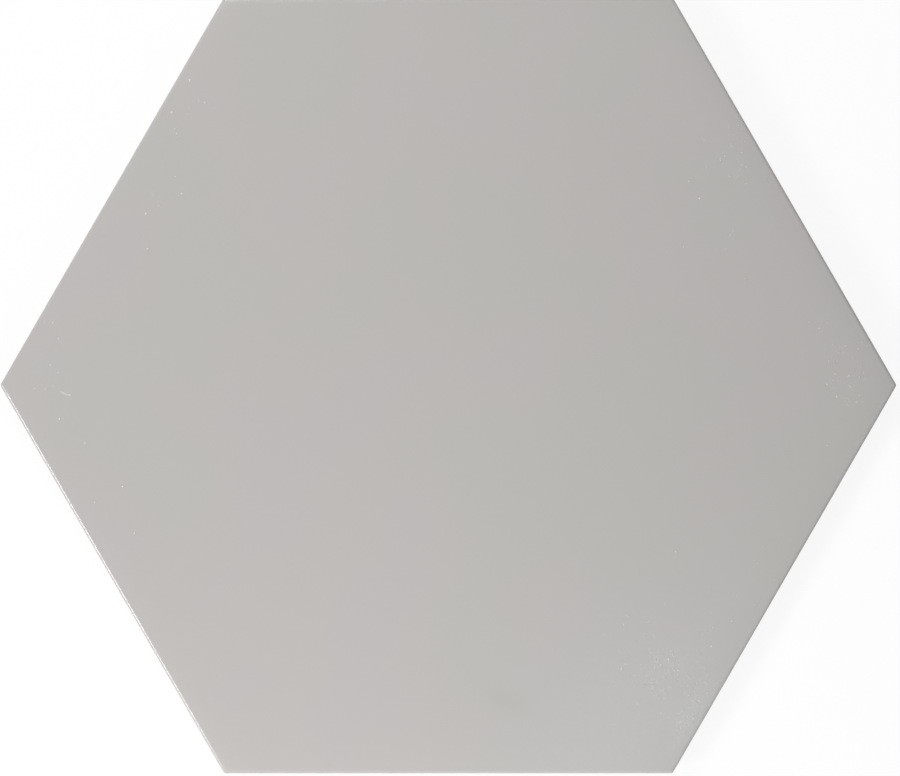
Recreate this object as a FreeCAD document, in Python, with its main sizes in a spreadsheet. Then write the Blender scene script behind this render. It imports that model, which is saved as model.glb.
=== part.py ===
import FreeCAD, Part
import math
import os
import Sketcher

# Hexagon floor tile, one piece of pressed and glazed stoneware, in millimetres.
# The origin is the middle of the back, +Z points out of the glazed face and
# +X points at one of the six corners.

# Driving sizes: name, value, what it measures.
SIZES = [
    ("across_flats", 200.0, "from one side to the opposite side"),
    ("thickness", 9.0, "from the back to the glazed face"),
    ("edge_radius", 0.8, "rounding of the glazed edge and of the upright corners"),
    ("bevel_inset", 0.5, "how far the back is set in from the sides"),
    ("bevel_rise", 3.0, "height of the leaning lower band of the sides"),
    ("foot_radius", 0.25, "rounding between the sides and the back"),
    ("rim_width", 8.0, "least plain rim between the recesses and the back's outline"),
    ("rings", 5, "rings of recesses round the middle one"),
    ("rib_width", 3.0, "rib between two recesses"),
    ("cell_depth", 0.8, "depth of a recess"),
    ("cell_draft", 20.0, "lean of a recess wall, in degrees"),
]

# Flats of a regular hexagon stand at this share of its corner distance.
FLAT_SHARE = "cos(30 deg)"
CORNERS = 6
# The recesses are as wide, flat to flat, as fills the back inside its rim.
BACK_REACH = "sizes.across_flats / 2 - sizes.bevel_inset - sizes.rim_width"
CELL_WIDTH = (f"(({BACK_REACH} - sizes.rings * sizes.rib_width * {FLAT_SHARE})"
              f" / (sizes.rings * {FLAT_SHARE} + 0.5 / {FLAT_SHARE}))")
PITCH = f"({CELL_WIDTH} + sizes.rib_width)"
# Two heights closer than this are the same height.
SAME = 0.001


def make_sheet(doc):
    sheet = doc.addObject("Spreadsheet::Sheet", "sizes")
    for row, (alias, value, meaning) in enumerate(SIZES, 1):
        sheet.set(f"A{row}", alias)
        sheet.set(f"B{row}", str(value))
        sheet.set(f"C{row}", meaning)
        sheet.setAlias(f"B{row}", alias)
    doc.recompute()
    return sheet


def origin_feature(body, role):
    for feature in body.Origin.OriginFeatures:
        if feature.Role == role:
            return feature
    raise ValueError(role)


def new_sketch(body, name):
    """A sketch on the plane of the tile's back."""
    sketch = body.newObject("Sketcher::SketchObject", name)
    sketch.AttachmentSupport = [(origin_feature(body, "XY_Plane"), "")]
    sketch.MapMode = "FlatFace"
    return sketch


def bind(sketch, name, constraint, formula):
    number = sketch.addConstraint(constraint)
    sketch.renameConstraint(number, name)
    sketch.setExpression(f"Constraints.{name}", formula)


def draw_hexagon(sketch, centre_x, width, first_corner):
    """A regular hexagon inside a guide circle, with its first corner at an angle in degrees.

    The width is a formula. Returns the circle's number, whose centre places the hexagon.
    """
    corner_formula = f"{width} / 2 / {FLAT_SHARE}"
    corner_distance = sketch.evalExpression(corner_formula)
    centre = FreeCAD.Vector(centre_x, 0, 0)
    guide = Part.Circle(centre, FreeCAD.Vector(0, 0, 1), corner_distance)
    ring = sketch.addGeometry(guide, True)
    corners = []
    for step in range(CORNERS):
        angle = math.radians(first_corner) + 2 * math.pi * step / CORNERS
        corners.append(centre + FreeCAD.Vector(math.cos(angle), math.sin(angle), 0) * corner_distance)
    sides = []
    for start, end in zip(corners, corners[1:] + corners[:1]):
        sides.append(sketch.addGeometry(Part.LineSegment(start, end), False))
    for side, following in zip(sides, sides[1:] + sides[:1]):
        sketch.addConstraint(Sketcher.Constraint("Coincident", side, 2, following, 1))
        sketch.addConstraint(Sketcher.Constraint("PointOnObject", side, 2, ring))
    for side in sides[1:]:
        sketch.addConstraint(Sketcher.Constraint("Equal", sides[0], side))
    lined_up = "Vertical" if first_corner == 90 else "Horizontal"
    sketch.addConstraint(Sketcher.Constraint(lined_up, sides[0], 1, ring, 3))
    bind(sketch, "corner_distance", Sketcher.Constraint("Radius", ring, corner_distance),
         corner_formula)
    return ring


def draw_guide_line(sketch, slant):
    """A guide line out of the sketch's origin at an angle in degrees, for a pattern to follow."""
    angle = math.radians(slant)
    end = FreeCAD.Vector(math.cos(angle), math.sin(angle), 0)
    line = sketch.addGeometry(Part.LineSegment(FreeCAD.Vector(), end), True)
    sketch.addConstraint(Sketcher.Constraint("Coincident", line, 1, -1, 1))
    sketch.addConstraint(Sketcher.Constraint("Distance", line, end.Length))
    sketch.addConstraint(Sketcher.Constraint("Angle", -1, 1, line, 1, angle))
    return (sketch, ["Axis0"])


def edge_names(feature, wanted):
    names = []
    for number, edge in enumerate(feature.Shape.Edges, 1):
        if wanted(edge.BoundBox):
            names.append(f"Edge{number}")
    return names


def press_slab(body):
    """The pressed slab, with two of its corners on the X axis."""
    sketch = new_sketch(body, "outline")
    ring = draw_hexagon(sketch, 0, "sizes.across_flats", 0)
    sketch.addConstraint(Sketcher.Constraint("Coincident", ring, 3, -1, 1))
    slab = body.newObject("PartDesign::Pad", "slab")
    slab.Profile = sketch
    slab.setExpression("Length", "sizes.thickness")
    body.Document.recompute()
    return slab


def round_glazed_edge(body, slab, sizes):
    """Rounds the glazed face's outline and the upright corners, which meet as ball corners."""
    def glazed_or_upright(box):
        on_face = box.ZMin > sizes.thickness - SAME
        upright = box.ZLength > sizes.thickness - SAME
        return on_face or upright

    glazed_edge = body.newObject("PartDesign::Fillet", "glazed_edge")
    glazed_edge.Base = (slab, edge_names(slab, glazed_or_upright))
    glazed_edge.setExpression("Radius", "sizes.edge_radius")
    body.Document.recompute()
    return glazed_edge


def bevel_foot(body, upper):
    """Sets the back in from the sides with a leaning band, and rounds the edge it stands on."""
    def on_back(box):
        return box.ZMax < SAME

    bevel = body.newObject("PartDesign::Chamfer", "foot_bevel")
    bevel.Base = (upper, edge_names(upper, on_back))
    bevel.ChamferType = "Two distances"
    bevel.setExpression("Size", "sizes.bevel_rise")
    bevel.setExpression("Size2", "sizes.bevel_inset")
    body.Document.recompute()

    foot = body.newObject("PartDesign::Fillet", "foot_edge")
    foot.Base = (bevel, edge_names(bevel, on_back))
    foot.setExpression("Radius", "sizes.foot_radius")
    body.Document.recompute()


def cut_cell(body, name, place=None):
    """One drafted recess in the back, its flats facing its neighbours.

    It is in the middle, or else its place is a formula for how far out along X it is.
    """
    sketch = new_sketch(body, f"{name}_outline")
    centre_x = sketch.evalExpression(place) if place else 0
    ring = draw_hexagon(sketch, centre_x, CELL_WIDTH, 90)
    if place:
        sketch.addConstraint(Sketcher.Constraint("PointOnObject", ring, 3, -1))
        bind(sketch, "place", Sketcher.Constraint("DistanceX", -1, 1, ring, 3, centre_x), place)
    else:
        sketch.addConstraint(Sketcher.Constraint("Coincident", ring, 3, -1, 1))
    cell = body.newObject("PartDesign::Pocket", name)
    cell.Profile = sketch
    cell.Reversed = True
    cell.setExpression("Length", "sizes.cell_depth")
    cell.setExpression("TaperAngle", "-sizes.cell_draft")
    body.Document.recompute()
    return sketch, cell


def new_row(body, name, direction, count):
    row = body.Document.addObject("PartDesign::LinearPattern", name)
    row.Direction = direction
    row.Mode = "Spacing"
    row.setExpression("Offset", PITCH)
    row.setExpression("Occurrences", count)
    return row


def press_honeycomb(body):
    """The honeycomb of recesses that the bedding mortar grips: a middle cell and rings round it.

    Three equal blocks of cells make up the rings: a block is a row along X, repeated along a
    slanted line.
    """
    cut_cell(body, "middle_cell")
    sketch, first_cell = cut_cell(body, "first_cell", PITCH)
    slanted = draw_guide_line(sketch, 120)
    body.Document.recompute()

    honeycomb = body.newObject("PartDesign::MultiTransform", "honeycomb")
    honeycomb.Originals = [first_cell]
    row = new_row(body, "row", (sketch, ["H_Axis"]), "sizes.rings")
    block = new_row(body, "block", slanted, "sizes.rings + 1")
    turn = body.Document.addObject("PartDesign::PolarPattern", "turn")
    turn.Axis = (sketch, ["N_Axis"])
    turn.Angle = 360
    turn.Occurrences = 3
    honeycomb.Transformations = [row, block, turn]
    body.Tip = honeycomb
    body.Document.recompute()


def finished_shape(doc, body, pressed_volume):
    """The body's shape, once nothing failed and the recesses took material away."""
    for item in doc.Objects:
        if "Invalid" in item.State or "Error" in item.State:
            raise RuntimeError(f"{item.Name} failed: {item.getStatusString()}")
    shape = body.Shape
    if shape.isNull() or not shape.isValid() or len(shape.Solids) != 1:
        raise RuntimeError(f"{body.Label} isn't one valid solid")
    if shape.Volume >= pressed_volume:
        raise RuntimeError(f"{body.Label} has no recesses in its back")
    return shape


def main():
    doc = FreeCAD.newDocument("hexagon_tile")
    sizes = make_sheet(doc)
    tile = doc.addObject("PartDesign::Body", "tile")
    tile.Label = "tile"
    slab = press_slab(tile)
    glazed_edge = round_glazed_edge(tile, slab, sizes)
    bevel_foot(tile, glazed_edge)
    pressed_volume = tile.Shape.Volume
    press_honeycomb(tile)
    shape = finished_shape(doc, tile, pressed_volume)
    os.makedirs("parts", exist_ok=True)
    shape.exportStep(f"parts/{tile.Label}.step")


main()
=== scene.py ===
import math
import random
from collections import namedtuple

import bpy
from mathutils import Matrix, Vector, geometry, kdtree, noise


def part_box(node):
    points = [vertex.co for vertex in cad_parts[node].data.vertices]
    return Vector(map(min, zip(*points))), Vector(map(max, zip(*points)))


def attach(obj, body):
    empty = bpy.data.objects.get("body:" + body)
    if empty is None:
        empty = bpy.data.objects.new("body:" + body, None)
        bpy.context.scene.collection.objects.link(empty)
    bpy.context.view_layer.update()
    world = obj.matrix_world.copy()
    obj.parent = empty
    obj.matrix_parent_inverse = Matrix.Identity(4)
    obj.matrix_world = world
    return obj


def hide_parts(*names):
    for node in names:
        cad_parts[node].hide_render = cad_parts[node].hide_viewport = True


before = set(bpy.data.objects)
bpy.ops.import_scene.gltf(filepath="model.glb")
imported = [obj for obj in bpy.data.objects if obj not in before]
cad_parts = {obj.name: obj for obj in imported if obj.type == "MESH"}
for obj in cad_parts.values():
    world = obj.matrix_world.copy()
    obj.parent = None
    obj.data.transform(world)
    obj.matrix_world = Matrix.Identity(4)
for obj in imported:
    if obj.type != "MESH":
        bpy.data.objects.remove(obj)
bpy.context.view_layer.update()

# Glazed hexagon floor tile, lying on its back on a pale floor and seen from straight above.
# Metres, +Z out of the glazed face, +X towards a corner, the origin in the middle of the back.

MM = 0.001

# The tile's outline and height, from the frame. The dressed tile stays a hair inside the frame's
# one, whose rounded corners are cut into facets.
HAIR = 0.005 * MM
_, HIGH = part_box("tile")
APOTHEM = HIGH.y - HAIR
THICKNESS = HIGH.z - HAIR
# A regular hexagon's sides are this share of its corners' distance from the middle.
CORNER_SHARE = math.cos(math.pi / 6)

# Section of the sides, from the face down to the back. The face stays a little under the full
# height, so that the tallest nibs in the glaze have room.
NIB_ROOM = 0.14 * MM
FACE_HEIGHT = THICKNESS - NIB_ROOM
EDGE_RADIUS = 0.8 * MM
BEVEL_INSET = 0.5 * MM
BEVEL_RISE = 3 * MM
FOOT_RADIUS = 0.25 * MM
# The glaze draws back from the edge: the face eases down over this width, to this slope. Round a
# corner the easing of two sides runs together over the blend.
EASE_RUN = 10 * MM
EASE_SLOPE = math.radians(6)
CORNER_BLEND = 2.5 * MM
# The rounding of the upright corners shrinks as the side goes in, down to this.
LEAST_CORNER = 0.03 * MM
# The glaze ends part of the way down the side, with bare clay under it. Its end wanders up and
# down in long runs, with short ones on them.
HEM_DROP = 2.3 * MM
HEM_LONG_RUN = 17 * MM
HEM_LONG_WANDER = 0.81 * MM
HEM_SHORT_RUN = 4.5 * MM
HEM_SHORT_WANDER = 0.315 * MM
# The glaze stands proud of the clay by its coat, and ends in a low bead: how far in from the side
# each point of its section is, and how high as a share of the bead. Above it the glaze leans in.
GLAZE_COAT = 0.1 * MM
GLAZE_LEAN = 0.02 * MM
BEAD_HEIGHT = 0.35 * MM
BEAD_SECTION = ((0.005 * MM, 0.6), (0, 0.3), (0.03 * MM, 0.08), (GLAZE_COAT, 0))

# Honeycomb of recesses in the back: rings round the middle one, the plain rim and the ribs, and a
# recess's depth, its walls' lean, and how its corners, its lip and its floor's edge are rounded.
RINGS = 5
RIM = 8 * MM
RIB = 3 * MM
CELL_DEPTH = 0.8 * MM
CELL_DRAFT = math.radians(20)
CELL_CORNER = 1.2 * MM
LEAST_CELL_CORNER = 0.2 * MM
LIP_RADIUS = 0.22 * MM
CELL_FLOOR_RADIUS = 0.35 * MM

# Slow waves of the glazed face, with finer ripples on them: how long and how high they are.
WAVE_LENGTH = 22 * MM
WAVE_HEIGHT = 0.012 * MM
RIPPLE_LENGTH = 9 * MM
RIPPLE_HEIGHT = 0.0025 * MM

# How finely the surfaces are cut up. The glazed band's steps are shares of the way down to the
# bead. The rows on the face that follow its sides lie further apart inland, by this power.
SIDE_STEPS = 140
CORNER_STEPS = 6
EDGE_STEPS = 10
BAND_STEPS = (0.3, 0.6, 0.9)
CLAY_STEPS = 4
BEVEL_STEPS = 3
FOOT_STEPS = 4
CELL_STEPS = 3
EASE_ROWS = 7
EASE_GROWTH = 1.5
FACE_PITCH = 2.2 * MM
# Rings of points round a mark, as shares of its radius, how many points each has, and how far
# each is turned for its share. A scuff's last ring is wide, and keeps the glaze beside it flat.
SPECK_RINGS = (0.35, 0.7, 1.0, 1.35, 1.8)
SPECK_SPOKES = 8
CHAIN_RINGS = (0.6, 1.1, 2.4)
CHAIN_SPOKES = 4
RING_TWIST = 1.6
# Points nearer to each other than this are one.
WELD = 1e-7

# The photograph's frame in pixels, with the tile's width across its corners and its centre in it.
FRAME_WIDTH = 900
FRAME_HEIGHT = 776
TILE_WIDTH_PX = 897
TILE_CENTRE_PX = (448.4, 385.2)
PIXEL = 2 * APOTHEM / CORNER_SHARE / TILE_WIDTH_PX
# The camera's lens and the width of its sensor, in millimetres.
LENS = 120
SENSOR = 36

# How much the smudge darkens the glaze and how much the edge pales it, where each is strongest.
SMUDGE_STRENGTH = 0.4
EDGE_PALING = 0.16
# The share of the floor that the camera sees as plain white. The rest of it keeps the shadow.
FLOOR_WHITE = 0.88
# The floor reaches this far out each way, and lies a hair under the tile's back.
FLOOR_REACH = 1.6
FLOOR_LEVEL = -0.02 * MM
# Strength of the plain white light that the room gives from all round.
ROOM_LIGHT = 0.2
# Numbers of a Mix node's sockets: its first and second colour, and the mixed one.
FIRST, SECOND, MIXED = 6, 7, 2


def from_photo(x, y):
    """The place on the face that the photograph shows at a pixel."""
    return Vector(((x - TILE_CENTRE_PX[0]) * PIXEL, (TILE_CENTRE_PX[1] - y) * PIXEL))


def linear(code):
    """Linear colour of an sRGB hex code."""
    parts = [int(code[i:i + 2], 16) / 255 for i in (1, 3, 5)]
    return [p / 12.92 if p <= 0.04045 else ((p + 0.055) / 1.055) ** 2.4 for p in parts] + [1.0]


def smooth_step(low, high, value):
    """0 up to the low value, 1 from the high one, and a soft rise between them."""
    share = min(1, max(0, (value - low) / (high - low)))
    return share * share * (3 - 2 * share)


def swell(place, length, layer):
    """Smooth noise at a place, from about -1 to 1, in swells of a length. A layer is one such noise."""
    return noise.noise(Vector((place[0] / length, place[1] / length, layer)))


def side_distance(place):
    """How far a place on the face is from the sides. Near a corner two sides count, with no crease."""
    crowd = 0
    for side in range(6):
        angle = math.radians(30 + 60 * side)
        reach = place[0] * math.cos(angle) + place[1] * math.sin(angle)
        crowd += math.exp((reach - APOTHEM) / CORNER_BLEND)
    return -CORNER_BLEND * math.log(crowd)


def eased(place):
    """Height of the face at a place, without its waves: it falls away ever faster towards the sides."""
    share = max(0, 1 - side_distance(place) / EASE_RUN)
    return FACE_HEIGHT - EASE_RUN * math.tan(EASE_SLOPE) * share ** 3 / 3


# Small marks in the glaze. A patch gathers them: its middle in the photograph, its spread in
# pixels along and across, its turn in degrees, how many specks and scuffs it has, and how clouded
# the glaze is round it, from 0 to 1.
Patch = namedtuple("Patch", "middle along across turn specks scuffs cloud")
PATCHES = [
    Patch((662, 668), 46, 33, 28, 30, 66, 0.6),
    Patch((689, 716), 40, 15, 60, 22, 44, 0.9),
    Patch((634, 712), 90, 60, 40, 5, 12, 0.55),
    Patch((850, 372), 44, 20, 75, 20, 10, 0.0),
    Patch((728, 150), 56, 34, -58, 16, 12, 0.03),
    Patch((182, 140), 90, 16, 62, 6, 4, 0.0),
    Patch((42, 358), 50, 20, -66, 3, 6, 0.1),
    Patch((746, 600), 60, 18, 60, 7, 4, 0.05),
]
# A faint grey-brown smudge in the glaze, as a patch without marks.
SMUDGE = Patch((506, 700), 17, 8, -20, 0, 0, 0)
# Specks on their own, where the photograph shows them when it is enlarged: the bright ones and the
# faint ones, both from the upper left round to the lower right.
BRIGHT_SPECKS = [(190, 81), (205, 103), (171.5, 113), (146, 214), (53, 322.5), (59, 338), (85, 443),
                 (95, 502), (135, 533), (733, 230), (683.5, 247), (809, 322), (819, 328.5),
                 (833, 344.5), (845, 346), (828.5, 360.5), (863.5, 372.5), (849, 375.5),
                 (836.5, 396.5), (856.5, 402), (827, 445.5), (675.5, 551.5), (731.5, 621),
                 (711, 646), (668.5, 659), (678, 670), (678, 674), (687.5, 685.5), (666, 694),
                 (661, 713)]
FAINT_SPECKS = [(214, 109), (177, 134), (175, 177), (182, 193.5), (159.5, 206), (147.5, 249),
                (59.5, 419), (123, 486.5), (699.5, 199), (730, 235), (726, 249), (746, 279),
                (827.5, 322), (838.5, 352.5), (859.5, 377), (863, 402), (848, 404.5), (763.5, 546),
                (664.5, 603.5), (755.5, 604.5)]
# A fibre that burnt out under the glaze left a fine curved ridge: ends and sag, in the photograph.
# The pulls are how far its curve leans from each end towards the sag.
FIBRE = ((61, 391), (65, 394.5), (71, 395))
FIBRE_PULLS = (0.8, 0.6)
FIBRE_POINTS = 24
FIBRE_RADIUS = 0.16 * MM
FIBRE_RISE = 0.06 * MM
FIBRE_TONE = 0.4
# Where two numbers stand, they are the least and the most. A size is a share of the full speck,
# and a tone is how far a mark's colour goes from the glaze's to the pale one; on a speck the
# pale also paints part of its highlight.
SPECK_RADIUS = 0.33 * MM
SPECK_RISE = 0.115 * MM
SPECK_SIZES = (0.6, 1.0)
SPECK_TONES = (0.1, 0.7)
LONE_SIZES = (0.75, 1.05)
BRIGHT_TONES = (0.6, 1.0)
FAINT_TONES = (0.2, 0.45)
# A ring of painted shadow round a speck reaches this far, as a share of its radius, and is
# darker than the glaze by this share of what the speck is paler.
SHADE_RING_REACH = 1.7
SHADE_RING_SHARE = 0.22
# A scuff is a bent row of low bumps: how far apart they stand, how many there are, which is
# rounded down, and how much the row bends at each, in radians to either side.
SCUFF_RADIUS = 0.2 * MM
SCUFF_RISE = 0.035 * MM
SCUFF_PITCH = 0.13 * MM
SCUFF_COUNT = (3, 11)
SCUFF_BEND = 0.16
SCUFF_TONES = (0.04, 0.27)
# How fast a cloud or a smudge fades outwards.
FADE = 0.6
# The seed of the scattered marks.
SEED = 11

# A mark in the glaze, up or down. A chain's marks stand in a row and run together.
Mark = namedtuple("Mark", "place radius rise tone chain")


def scatter_marks():
    """Specks, scuffs and the fibre, as low bumps and pits."""
    draw = random.Random(SEED)
    marks = []
    for patch in PATCHES:
        for _ in range(patch.specks):
            place = spot_in(patch, draw)
            way = 1 if draw.random() < 0.5 else -1
            size = draw.uniform(*SPECK_SIZES)
            marks.append(speck(place, size, way, draw.uniform(*SPECK_TONES)))
        for _ in range(patch.scuffs):
            start = spot_in(patch, draw)
            heading = draw.uniform(0, math.tau)
            bend = draw.gauss(0, SCUFF_BEND)
            tone = draw.uniform(*SCUFF_TONES)
            for _ in range(int(draw.uniform(*SCUFF_COUNT))):
                marks.append(Mark(start, SCUFF_RADIUS, SCUFF_RISE, tone, True))
                start = start + Vector((math.cos(heading), math.sin(heading))) * SCUFF_PITCH
                heading += bend
    for places, tones in ((BRIGHT_SPECKS, BRIGHT_TONES), (FAINT_SPECKS, FAINT_TONES)):
        for x, y in places:
            size = draw.uniform(*LONE_SIZES)
            marks.append(speck(from_photo(x, y), size, 1, draw.uniform(*tones)))
    start, sag, end = [from_photo(*pixel) for pixel in FIBRE]
    pulls = start.lerp(sag, FIBRE_PULLS[0]), end.lerp(sag, FIBRE_PULLS[1])
    for place in geometry.interpolate_bezier(start, *pulls, end, FIBRE_POINTS):
        marks.append(Mark(Vector(place[:2]), FIBRE_RADIUS, FIBRE_RISE, FIBRE_TONE, True))
    return [mark for mark in marks if side_distance(mark.place) > EDGE_RADIUS + 2 * SPECK_RADIUS]


def spot_in(patch, draw):
    """A random place in a patch, more likely near its middle."""
    angle = math.radians(patch.turn)
    run, side = draw.gauss(0, patch.along / 2), draw.gauss(0, patch.across / 2)
    x = patch.middle[0] + run * math.cos(angle) - side * math.sin(angle)
    y = patch.middle[1] - run * math.sin(angle) - side * math.cos(angle)
    return from_photo(x, y)


def speck(place, size, way, tone):
    """A nib of unmelted frit where the way is up, 1, or the pit of a burst bubble where it is -1."""
    return Mark(place, SPECK_RADIUS * size, way * SPECK_RISE * size, tone * size, False)


class Glaze:
    """The relief and the tones of the glazed face, worked out place by place."""

    def __init__(self, marks):
        self.marks = marks
        self.tree = kdtree.KDTree(len(marks))
        for number, mark in enumerate(marks):
            self.tree.insert(mark.place.to_3d(), number)
        self.tree.balance()

    def near(self, place):
        """Marks that reach a place, each with the place's distance as a share of its radius."""
        found = self.tree.find_range((place[0], place[1], 0), 2 * SPECK_RADIUS)
        for _, number, distance in found:
            yield self.marks[number], distance / self.marks[number].radius

    def height(self, place):
        """Slow waves of the fired glaze, with the marks on them."""
        wave = WAVE_HEIGHT * swell(place, WAVE_LENGTH, 3.1)
        ripple = RIPPLE_HEIGHT * swell(place, RIPPLE_LENGTH, 7.7)
        inland = smooth_step(EDGE_RADIUS, 2 * EASE_RUN, side_distance(place))
        rise = 0
        for mark, far in self.near(place):
            one = mark.rise * max(0, 1 - far * far) ** 2
            rise = one if abs(one) > abs(rise) else rise
        return eased(place) + (wave + ripple) * inland + rise

    def tone(self, place):
        """Over 0 where a mark is pale, which also paints part of a speck's highlight, and a little under
        it round a speck as painted shadow.
        """
        tone = 0
        for mark, far in self.near(place):
            # A mark's own pale colour, which on a speck also paints part of its highlight.
            if far < 1:
                tone = max(tone, mark.tone * (1 - far * far))
            # A ring of painted shadow round a speck.
            elif far < SHADE_RING_REACH and not mark.chain and tone <= 0:
                tone = min(tone, -SHADE_RING_SHARE * mark.tone)
        return tone


def nearness(place, patch):
    """How near a place is to the middle of a patch: 1 there, fading to 0 well outside it."""
    offset = Vector(place[:2]) - from_photo(*patch.middle)
    angle = math.radians(patch.turn)
    run = offset.x * math.cos(angle) + offset.y * math.sin(angle)
    side = offset.y * math.cos(angle) - offset.x * math.sin(angle)
    far = math.hypot(run / (patch.along * PIXEL), side / (patch.across * PIXEL))
    return math.exp(-FADE * far * far)


def clouding(place):
    """How clouded the glaze is, from 0 to 1: it clouds round the patches of marks."""
    return max(patch.cloud * nearness(place, patch) for patch in PATCHES)


def rounded_hexagon(apothem, radius, side_steps, corner_steps, turn=0):
    """Points of a hexagon with rounded corners, anticlockwise. Its first corner is at angle turn."""
    points = []
    reach = (apothem - radius) / CORNER_SHARE
    for number in range(6):
        middle = math.radians(turn + 60 * number)
        centre = Vector((math.cos(middle), math.sin(middle))) * reach
        for step in range(corner_steps + 1):
            angle = middle + math.radians(60 * step / corner_steps - 30)
            points.append(centre + Vector((math.cos(angle), math.sin(angle))) * radius)
        following = middle + math.pi / 3
        far_centre = Vector((math.cos(following), math.sin(following))) * reach
        out = Vector((math.cos(middle + math.pi / 6), math.sin(middle + math.pi / 6))) * radius
        for step in range(1, side_steps):
            points.append((centre + out).lerp(far_centre + out, step / side_steps))
    return points


def glazed_section():
    """Over the rounded edge, as (inset from the side, fall below the face, thinness of the glaze)."""
    steps = []
    for step in range(EDGE_STEPS + 1):
        lean = EASE_SLOPE + (math.pi / 2 - EASE_SLOPE) * step / EDGE_STEPS
        inset = EDGE_RADIUS * (1 - math.sin(lean)) / (1 - math.sin(EASE_SLOPE))
        fall = EDGE_RADIUS * (math.cos(EASE_SLOPE) - math.cos(lean))
        steps.append((inset, fall, math.sin(2 * lean) ** 2))
    return steps


def foot_section():
    """Down the bevel and round the foot to the back, as (inset from the side, height)."""
    steps = []
    lean = math.atan(BEVEL_INSET / BEVEL_RISE)
    foot_top = FOOT_RADIUS * (1 - math.sin(lean))
    foot_inset = GLAZE_COAT + (BEVEL_RISE - foot_top) * math.tan(lean)
    for step in range(1, BEVEL_STEPS + 1):
        share = step / BEVEL_STEPS
        steps.append((GLAZE_COAT + (foot_inset - GLAZE_COAT) * share,
                      BEVEL_RISE + (foot_top - BEVEL_RISE) * share))
    for step in range(1, FOOT_STEPS + 1):
        angle = lean + (math.pi / 2 - lean) * step / FOOT_STEPS
        steps.append((foot_inset + FOOT_RADIUS * (math.cos(lean) - math.cos(angle)),
                      FOOT_RADIUS * (1 - math.sin(angle))))
    return steps


def cell_middles():
    """Width of the recesses and their middles: one in the middle and rings of them round it."""
    field = APOTHEM - BEVEL_INSET - RIM
    width = (field - RINGS * RIB * CORNER_SHARE) / (RINGS * CORNER_SHARE + 0.5 / CORNER_SHARE)
    pitch = width + RIB
    middles = []
    for row in range(-RINGS, RINGS + 1):
        for place in range(-RINGS, RINGS + 1):
            if abs(row + place) <= RINGS:
                middles.append(Vector(((place + row / 2) * pitch, row * CORNER_SHARE * pitch)))
    return width, middles


def cell_section():
    """Wall of a recess from its lip up to its floor, as (inset from its outline, height)."""
    steps = []
    turn = math.pi / 2 - CELL_DRAFT
    for step in range(CELL_STEPS + 1):
        angle = turn * step / CELL_STEPS
        steps.append((LIP_RADIUS * (math.sin(angle) - 1), LIP_RADIUS * (1 - math.cos(angle))))
    for step in range(CELL_STEPS + 1):
        angle = turn * (1 - step / CELL_STEPS)
        inset = CELL_DEPTH * math.tan(CELL_DRAFT) + CELL_FLOOR_RADIUS * (1 - math.sin(angle))
        steps.append((inset, CELL_DEPTH - CELL_FLOOR_RADIUS * (1 - math.cos(angle))))
    return steps


class Skin:
    """Gathers points and faces. Each face has a finish, and points know how thin the glaze is."""

    def __init__(self):
        self.points = []
        self.faces = []
        self.finishes = []
        self.thin = {}

    def add_loop(self, places, heights):
        """Points over places, at one height or at a height for each. Gives their numbers."""
        first = len(self.points)
        if not isinstance(heights, list):
            heights = [heights] * len(places)
        self.points += [(place[0], place[1], z) for place, z in zip(places, heights)]
        return list(range(first, len(self.points)))

    def add_face(self, corners, finish):
        self.faces.append(corners)
        self.finishes.append(finish)

    def join_loops(self, upper, lower, finish):
        """Quads between two loops of as many points."""
        for number, point in enumerate(upper):
            following = (number + 1) % len(upper)
            self.add_face((point, lower[number], lower[following], upper[following]), finish)

    def fill(self, outline, openings, loose, height_at, downwards, finish):
        """Triangles between an outline and openings, which are loops of points, through loose places."""
        flat, faces = [], []
        for loop in [outline] + openings:
            faces.append(list(range(len(flat), len(flat) + len(loop))))
            flat += [(number, Vector(self.points[number][:2])) for number in loop]
        flat += [(None, place) for place in loose]
        places, _, triangles, origins, _, parents = geometry.delaunay_2d_cdt(
            [place for _, place in flat], [], faces, 0, WELD)
        numbers = []
        for place, origin in zip(places, origins):
            known = flat[origin[0]][0] if origin else None
            if known is None:
                known = len(self.points)
                self.points.append((place[0], place[1], height_at(place)))
            numbers.append(known)
        for triangle, parent in zip(triangles, parents):
            if list(parent) == [0]:
                corners = [numbers[corner] for corner in triangle]
                self.add_face(corners[::-1] if downwards else corners, finish)


def face_places(marks):
    """Places that cut up the glazed face: rows along the sides, a lattice, and rings on the marks."""
    places = []
    for row in range(1, EASE_ROWS + 1):
        inset = EDGE_RADIUS + EASE_RUN * (row / EASE_ROWS) ** EASE_GROWTH
        places += rounded_hexagon(APOTHEM - inset, EDGE_RADIUS, SIDE_STEPS // 2, 1)
    rows = int(APOTHEM / (FACE_PITCH * CORNER_SHARE)) + 1
    for row in range(-rows, rows + 1):
        for column in range(-2 * rows, 2 * rows + 1):
            place = Vector(((column + (row % 2) / 2) * FACE_PITCH, row * FACE_PITCH * CORNER_SHARE))
            if side_distance(place) > EASE_RUN + EDGE_RADIUS + FACE_PITCH / 2:
                places.append(place)
    for mark in marks:
        places.append(mark.place)
        rings = CHAIN_RINGS if mark.chain else SPECK_RINGS
        spokes = CHAIN_SPOKES if mark.chain else SPECK_SPOKES
        for ring in rings:
            for spoke in range(spokes):
                angle = math.tau * spoke / spokes + RING_TWIST * ring
                offset = Vector((math.cos(angle), math.sin(angle))) * mark.radius * ring
                places.append(mark.place + offset)
    return places


def side_loop(skin, inset, heights):
    """Points round the tile, in from its sides, at one height or at a height for each."""
    radius = max(EDGE_RADIUS - inset, LEAST_CORNER)
    return skin.add_loop(rounded_hexagon(APOTHEM - inset, radius, SIDE_STEPS, CORNER_STEPS), heights)


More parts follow.
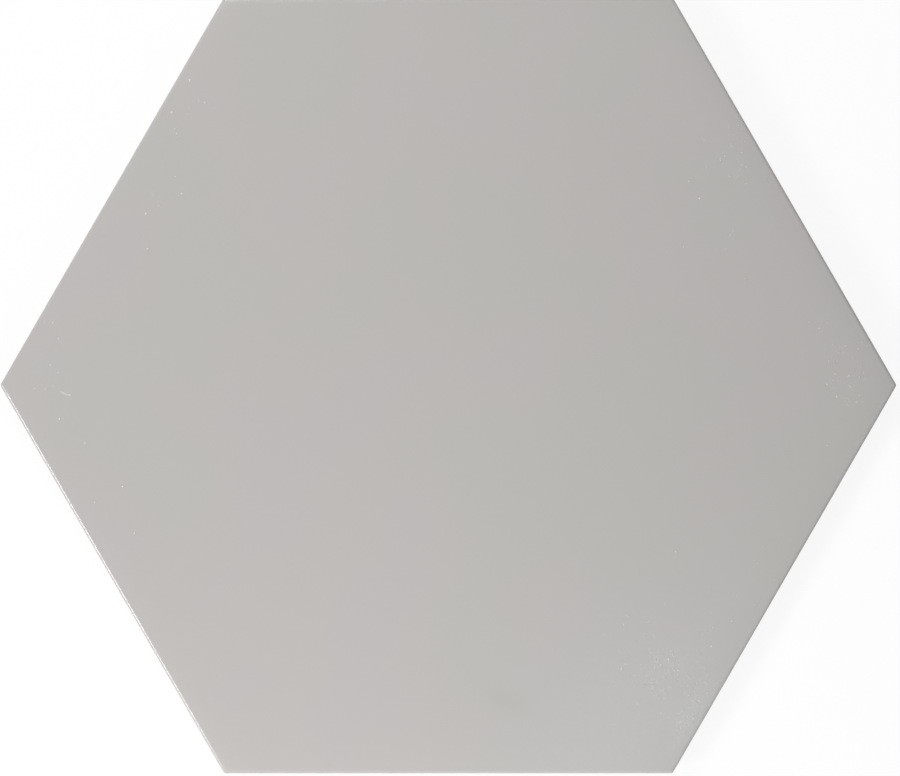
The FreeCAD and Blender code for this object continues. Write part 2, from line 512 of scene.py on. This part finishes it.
def hem_heights():
    """Where the glaze ends on the side, point by point round the tile: it wanders and dips in runs."""
    heights = []
    for place in rounded_hexagon(APOTHEM, EDGE_RADIUS, SIDE_STEPS, CORNER_STEPS):
        slow = HEM_LONG_WANDER * swell(place, HEM_LONG_RUN, 1.7)
        quick = HEM_SHORT_WANDER * swell(place, HEM_SHORT_RUN, 9.2)
        heights.append(THICKNESS - HEM_DROP + slow + quick)
    return heights


def build_sides(skin):
    """Rounded edge, glazed band, bead, bare side, bevel and foot. Gives the first and last loops."""
    loops = []
    rim = rounded_hexagon(APOTHEM - EDGE_RADIUS, HAIR, SIDE_STEPS, CORNER_STEPS)
    for inset, fall, thin in glazed_section():
        loop = side_loop(skin, inset, [eased(place) - fall for place in rim])
        skin.thin.update((number, thin) for number in loop)
        if loops:
            skin.join_loops(loops[-1], loop, "glaze")
        loops.append(loop)
    edge_bottom = [skin.points[number][2] for number in loops[-1]]
    hem = hem_heights()
    for share in BAND_STEPS:
        heights = [top + (z + BEAD_HEIGHT - top) * share for top, z in zip(edge_bottom, hem)]
        loops.append(side_loop(skin, GLAZE_LEAN * share, heights))
        skin.join_loops(loops[-2], loops[-1], "glaze")
    for inset, lift in BEAD_SECTION:
        loops.append(side_loop(skin, inset, [z + BEAD_HEIGHT * lift for z in hem]))
        skin.join_loops(loops[-2], loops[-1], "glaze")
    for step in range(1, CLAY_STEPS + 1):
        heights = [z + (BEVEL_RISE - z) * step / CLAY_STEPS for z in hem]
        loops.append(side_loop(skin, GLAZE_COAT, heights))
        skin.join_loops(loops[-2], loops[-1], "clay")
    for inset, height in foot_section():
        loops.append(side_loop(skin, inset, height))
        skin.join_loops(loops[-2], loops[-1], "clay")
    return loops[0], loops[-1]


def build_back(skin, outline):
    """The back with its honeycomb of recesses."""
    width, middles = cell_middles()
    mouths = []
    for middle in middles:
        walls = []
        for inset, height in cell_section():
            radius = max(CELL_CORNER - inset, LEAST_CELL_CORNER)
            ring = rounded_hexagon(width / 2 - inset, radius, CELL_STEPS, CELL_STEPS, turn=30)
            walls.append(skin.add_loop([middle + place for place in ring], height))
        for lower, upper in zip(walls, walls[1:]):
            skin.join_loops(lower, upper, "clay")
        skin.add_face(walls[-1][::-1], "clay")
        mouths.append(walls[0])
    skin.fill(outline, mouths, [], lambda place: 0, True, "clay")


def over_face(points, share):
    """A share at each point of the glazed face, and 0 at the others."""
    return [share(point) if point[2] > FACE_HEIGHT - EDGE_RADIUS / 2 else 0 for point in points]


def paint(mesh, name, shares):
    """Stores a share at every point of a mesh, for its finishes to look up by name."""
    mesh.attributes.new(name, "FLOAT", "POINT").data.foreach_set("value", shares)


def build_tile():
    """The whole tile as one closed mesh, glazed above and bare below."""
    skin = Skin()
    glaze = Glaze(scatter_marks())
    face_outline, back_outline = build_sides(skin)
    skin.fill(face_outline, [], face_places(glaze.marks), glaze.height, False, "glaze")
    build_back(skin, back_outline)

    mesh = bpy.data.meshes.new("glazed_tile")
    mesh.from_pydata(skin.points, [], skin.faces)
    mesh.shade_smooth()
    for finish in (fired_glaze(), bare_clay()):
        mesh.materials.append(finish)
    for face, finish in zip(mesh.polygons, skin.finishes):
        face.material_index = 0 if finish == "glaze" else 1
    paint(mesh, "tone", over_face(skin.points, glaze.tone))
    paint(mesh, "cloud", over_face(skin.points, clouding))
    paint(mesh, "smudge", over_face(skin.points, lambda place: nearness(place, SMUDGE)))
    paint(mesh, "thin", [skin.thin.get(number, 0) for number in range(len(skin.points))])
    tile = bpy.data.objects.new("glazed_tile", mesh)
    bpy.context.scene.collection.objects.link(tile)
    return tile


def add(tree, kind, inputs=None, **settings):
    """Adds a node with its settings. An input is a value, or another node's output to link."""
    node = tree.nodes.new(kind)
    for name, value in settings.items():
        setattr(node, name, value)
    for name, value in (inputs or {}).items():
        if isinstance(value, bpy.types.NodeSocket):
            tree.links.new(value, node.inputs[name])
        else:
            node.inputs[name].default_value = value
    return node


def new_material(name):
    """A material with no nodes yet, and its node tree."""
    material = bpy.data.materials.new(name)
    material.use_nodes = True
    material.node_tree.nodes.clear()
    return material, material.node_tree


def noise_scale(size):
    """Scale of a noise whose lumps are about this size across."""
    return 1 / size


def fired_glaze():
    """Opaque satin glaze, sprayed on and fired: an even warm light grey with a soft shine.

    It clouds faintly where it pooled, breaks a little paler and duller over the edge, has one
    faint smudge, and has the fine orange-peel skin of fired glass.
    """
    material, tree = new_material("fired_glaze")
    place = add(tree, "ShaderNodeTexCoord").outputs["Object"]

    # The colour drifts very slightly, over about 34 mm.
    drift = add(tree, "ShaderNodeTexNoise", {"Vector": place, "Scale": noise_scale(34 * MM),
                                             "Detail": 2.0, "Roughness": 0.45})
    drift = add(tree, "ShaderNodeMapRange", {"Value": drift.outputs["Fac"], "From Min": 0.35,
                                             "From Max": 0.65})
    base = add(tree, "ShaderNodeMix", {"Factor": drift.outputs[0], FIRST: linear("#B4B0AF"),
                                       SECOND: linear("#B3B1AE")}, data_type="RGBA")
    # Clouds of fine bubbles break into wisps about 1.8 mm across, and so does the smudge.
    cloud = add(tree, "ShaderNodeAttribute", attribute_name="cloud")
    wisp = add(tree, "ShaderNodeTexNoise", {"Vector": place, "Scale": noise_scale(1.8 * MM),
                                            "Detail": 5.0, "Roughness": 0.7})
    wisp = add(tree, "ShaderNodeMapRange", {"Value": wisp.outputs["Fac"], "From Min": 0.3,
                                            "From Max": 0.7, "To Min": 0.4})
    milk = add(tree, "ShaderNodeMath", {0: cloud.outputs["Fac"], 1: wisp.outputs[0]},
               operation="MULTIPLY")
    clouded = add(tree, "ShaderNodeMix", {"Factor": milk.outputs[0], FIRST: base.outputs[MIXED],
                                          SECOND: linear("#B8B9B9")}, data_type="RGBA")
    smudge = add(tree, "ShaderNodeAttribute", attribute_name="smudge")
    grime = add(tree, "ShaderNodeMath", {0: smudge.outputs["Fac"], 1: wisp.outputs[0]},
                operation="MULTIPLY")
    grime = add(tree, "ShaderNodeMath", {0: grime.outputs[0], 1: SMUDGE_STRENGTH},
                operation="MULTIPLY")
    smudged = add(tree, "ShaderNodeMix", {"Factor": grime.outputs[0], FIRST: clouded.outputs[MIXED],
                                          SECOND: linear("#A8A49F")}, data_type="RGBA")
    # The paler clay shows through faintly where the glaze is thin. Marks are pale, and a speck's
    # paleness also paints part of its highlight; the darker ring round each speck is painted shadow.
    thin = add(tree, "ShaderNodeAttribute", attribute_name="thin")
    broken = add(tree, "ShaderNodeMath", {0: thin.outputs["Fac"], 1: EDGE_PALING},
                 operation="MULTIPLY")
    edged = add(tree, "ShaderNodeMix", {"Factor": broken.outputs[0], FIRST: smudged.outputs[MIXED],
                                        SECOND: linear("#CDC8C1")}, data_type="RGBA")
    tone = add(tree, "ShaderNodeAttribute", attribute_name="tone")
    # Pale marks; on a speck the paleness also paints part of its highlight.
    pale = add(tree, "ShaderNodeMath", {0: tone.outputs["Fac"], 1: 0.0}, operation="MAXIMUM")
    # Painted shadow in a ring round each speck.
    painted_shade_ring = add(tree, "ShaderNodeMath", {0: tone.outputs["Fac"], 1: -1.0}, operation="MULTIPLY",
               use_clamp=True)
    specked = add(tree, "ShaderNodeMix", {"Factor": pale.outputs[0], FIRST: edged.outputs[MIXED],
                                          SECOND: linear("#DAD8D4")}, data_type="RGBA")
    colour = add(tree, "ShaderNodeMix", {"Factor": painted_shade_ring.outputs[0], FIRST: specked.outputs[MIXED],
                                         SECOND: linear("#8F8C88")}, data_type="RGBA")

    # Clouded and thin glaze shines a little less.
    dulled = add(tree, "ShaderNodeMath", {0: milk.outputs[0], 1: thin.outputs["Fac"]},
                 operation="MAXIMUM")
    shine = add(tree, "ShaderNodeMapRange", {"Value": dulled.outputs[0], "To Min": 0.16,
                                             "To Max": 0.24})
    # The orange peel of a sprayed glaze is about 2.2 mm from dimple to dimple.
    peel = add(tree, "ShaderNodeTexNoise", {"Vector": place, "Scale": noise_scale(2.2 * MM),
                                            "Detail": 1.5})
    relief = add(tree, "ShaderNodeBump", {"Height": peel.outputs["Fac"], "Strength": 0.5,
                                          "Distance": 0.012 * MM})
    bsdf = add(tree, "ShaderNodeBsdfPrincipled", {
        "Base Color": colour.outputs[MIXED], "Roughness": shine.outputs[0], "IOR": 1.55,
        "Normal": relief.outputs[0]})
    add(tree, "ShaderNodeOutputMaterial", {"Surface": bsdf.outputs[0]})
    return material


def bare_clay():
    """Dry-pressed stoneware body, fired and left bare: pale, dull and finely grained.

    It has sparse iron specks, and the ribs of the back keep a thin white dust of kiln wash.
    """
    material, tree = new_material("bare_clay")
    place = add(tree, "ShaderNodeTexCoord").outputs["Object"]

    # The body is mottled, in lumps of about 9 mm.
    body = add(tree, "ShaderNodeTexNoise", {"Vector": place, "Scale": noise_scale(9 * MM),
                                            "Detail": 6.0, "Roughness": 0.6})
    body = add(tree, "ShaderNodeMapRange", {"Value": body.outputs["Fac"], "From Min": 0.3,
                                            "From Max": 0.7})
    base = add(tree, "ShaderNodeMix", {"Factor": body.outputs[0], FIRST: linear("#C6BCAD"),
                                       SECOND: linear("#D3CABC")}, data_type="RGBA")
    # Pressed granules are about 0.4 mm across. They are drawn at 0.7 mm, so that they show.
    grain = add(tree, "ShaderNodeTexNoise", {"Vector": place, "Scale": noise_scale(0.7 * MM),
                                             "Detail": 3.0, "Roughness": 0.7})
    shade = add(tree, "ShaderNodeMapRange", {"Value": grain.outputs["Fac"], "From Min": 0.3,
                                             "From Max": 0.7, "To Min": 0.9, "To Max": 1.06})
    grained = add(tree, "ShaderNodeMix", {"Factor": 1.0, FIRST: base.outputs[MIXED],
                                          SECOND: shade.outputs[0]}, data_type="RGBA",
                  blend_type="MULTIPLY")
    # Iron specks lie about 4.5 mm apart.
    iron = add(tree, "ShaderNodeTexVoronoi", {"Vector": place, "Scale": noise_scale(4.5 * MM)})
    speck = add(tree, "ShaderNodeMapRange", {"Value": iron.outputs["Distance"],
                                             "From Min": 0.045, "From Max": 0.075,
                                             "To Min": 0.55, "To Max": 0.0})
    specked = add(tree, "ShaderNodeMix", {"Factor": speck.outputs[0], FIRST: grained.outputs[MIXED],
                                          SECOND: linear("#7C5A41")}, data_type="RGBA")
    # Kiln wash rubs off on what stands on the kiln shelf, in patches of about 14 mm.
    height = add(tree, "ShaderNodeSeparateXYZ", {"Vector": place})
    on_rib = add(tree, "ShaderNodeMapRange", {"Value": height.outputs["Z"], "From Min": 0.05 * MM,
                                              "From Max": 0.2 * MM, "To Min": 1.0, "To Max": 0.0})
    dust = add(tree, "ShaderNodeTexNoise", {"Vector": place, "Scale": noise_scale(14 * MM),
                                            "Detail": 7.0, "Roughness": 0.7})
    dust = add(tree, "ShaderNodeMapRange", {"Value": dust.outputs["Fac"], "From Min": 0.42,
                                            "From Max": 0.62, "To Max": 0.75})
    wash = add(tree, "ShaderNodeMath", {0: on_rib.outputs[0], 1: dust.outputs[0]},
               operation="MULTIPLY")
    colour = add(tree, "ShaderNodeMix", {"Factor": wash.outputs[0], FIRST: specked.outputs[MIXED],
                                         SECOND: linear("#E9E6DF")}, data_type="RGBA")
    relief = add(tree, "ShaderNodeBump", {"Height": grain.outputs["Fac"], "Strength": 0.6,
                                          "Distance": 0.08 * MM})
    bsdf = add(tree, "ShaderNodeBsdfPrincipled", {
        "Base Color": colour.outputs[MIXED], "Roughness": 0.92, "IOR": 1.5,
        "Normal": relief.outputs[0]})
    add(tree, "ShaderNodeOutputMaterial", {"Surface": bsdf.outputs[0]})
    return material


def pale_floor():
    """Matt white board: near white to the eye, and it keeps the tile's shadow.

    Seen from underneath it is clear, so that the tile's back shows.
    """
    material, tree = new_material("pale_floor")
    paths = add(tree, "ShaderNodeLightPath")
    sides = add(tree, "ShaderNodeNewGeometry")
    matt = add(tree, "ShaderNodeBsdfDiffuse", {"Color": linear("#F4F4F4")})
    white = add(tree, "ShaderNodeEmission", {"Color": (1, 1, 1, 1), "Strength": 1.0})
    seen = add(tree, "ShaderNodeMath", {0: paths.outputs["Is Camera Ray"],
                                        1: paths.outputs["Is Glossy Ray"]}, operation="MAXIMUM")
    share = add(tree, "ShaderNodeMath", {0: seen.outputs[0], 1: FLOOR_WHITE}, operation="MULTIPLY")
    board = add(tree, "ShaderNodeMixShader", {0: share.outputs[0], 1: matt.outputs[0],
                                              2: white.outputs[0]})
    from_below = add(tree, "ShaderNodeMath", {0: sides.outputs["Backfacing"],
                                              1: paths.outputs["Is Camera Ray"]},
                     operation="MULTIPLY")
    clear = add(tree, "ShaderNodeBsdfTransparent")
    both = add(tree, "ShaderNodeMixShader", {0: from_below.outputs[0], 1: board.outputs[0],
                                             2: clear.outputs[0]})
    add(tree, "ShaderNodeOutputMaterial", {"Surface": both.outputs[0]})
    return material


def build_floor():
    """A wide floor with an opening under the tile, so that the tile's back can be seen from below."""
    skin = Skin()
    outer = [(x * FLOOR_REACH, y * FLOOR_REACH) for x, y in ((-1, -1), (1, -1), (1, 1), (-1, 1))]
    outline = skin.add_loop(outer, FLOOR_LEVEL)
    opening = rounded_hexagon(APOTHEM - BEVEL_INSET - FOOT_RADIUS, FOOT_RADIUS, 1, 1)
    edge = skin.add_loop(opening, FLOOR_LEVEL)
    skin.fill(outline, [edge], [], lambda place: FLOOR_LEVEL, False, "board")
    mesh = bpy.data.meshes.new("floor")
    mesh.from_pydata(skin.points, [], skin.faces)
    mesh.materials.append(pale_floor())
    floor = bpy.data.objects.new("floor", mesh)
    bpy.context.scene.collection.objects.link(floor)


def softbox(name, azimuth, distance, height, size, power, mirrored=True):
    """A softbox that faces the tile, with its width level.

    Its azimuth is in degrees from +X, its level distance, height and size are in metres, and its
    power is in watts.
    """
    light = bpy.data.lights.new(name, "AREA")
    light.shape = "RECTANGLE"
    light.size, light.size_y = size
    light.energy = power
    lamp = bpy.data.objects.new(name, light)
    bpy.context.scene.collection.objects.link(lamp)
    angle = math.radians(azimuth)
    lamp.location = (distance * math.cos(angle), distance * math.sin(angle), height)
    lamp.rotation_mode = "QUATERNION"
    lamp.rotation_quaternion = lamp.location.to_track_quat("Z", "Y")
    lamp.visible_camera = False
    lamp.visible_glossy = mirrored


def light_studio():
    """Softboxes round the tile, one under it for its back, and a plain white room."""
    softbox("key_softbox", 207.5, 1.02, 0.80, (0.34, 0.32), 7.7)
    softbox("left_softbox", 235, 0.38, 0.36, (0.25, 0.25), 0.23)
    # The near edge shows no bright line in the photograph, so this one isn't mirrored in the glaze.
    softbox("front_softbox", 268, 0.28, 0.183, (0.25, 0.25), 0.44, mirrored=False)
    softbox("back_softbox", 104, 0.36, 0.42, (0.30, 0.15), 1.32)
    softbox("under_softbox", 225, 0.45, -0.5, (0.4, 0.4), 4.0)
    world = bpy.data.worlds.new("studio")
    bpy.context.scene.world = world
    world.use_nodes = True
    tree = world.node_tree
    tree.nodes.clear()
    paths = add(tree, "ShaderNodeLightPath")
    seen = add(tree, "ShaderNodeMath", {0: paths.outputs["Is Camera Ray"],
                                        1: paths.outputs["Is Glossy Ray"]}, operation="MAXIMUM")
    seen = add(tree, "ShaderNodeMath", {0: seen.outputs[0],
                                        1: paths.outputs["Is Transmission Ray"]}, operation="MAXIMUM")
    level = add(tree, "ShaderNodeMapRange", {"Value": seen.outputs[0], "To Min": ROOM_LIGHT,
                                              "To Max": 1.0})
    white = add(tree, "ShaderNodeBackground", {"Color": (1, 1, 1, 1), "Strength": level.outputs[0]})
    add(tree, "ShaderNodeOutputWorld", {"Surface": white.outputs[0]})


def place_camera():
    """Straight above the tile, as far off as makes the tile as wide as in the photograph."""
    data = bpy.data.cameras.new("camera")
    data.lens = LENS
    data.sensor_width = SENSOR
    data.clip_start = 0.01
    camera = bpy.data.objects.new("camera", data)
    bpy.context.scene.collection.objects.link(camera)
    distance = FRAME_WIDTH * PIXEL * LENS / SENSOR
    x = (FRAME_WIDTH / 2 - TILE_CENTRE_PX[0]) * PIXEL
    y = (TILE_CENTRE_PX[1] - FRAME_HEIGHT / 2) * PIXEL
    camera.location = (x, y, THICKNESS - EDGE_RADIUS + distance)
    bpy.context.scene.camera = camera


tile = build_tile()
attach(tile, "root")
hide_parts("tile")
build_floor()
light_studio()
place_camera()
bpy.context.scene.view_settings.view_transform = "Standard"
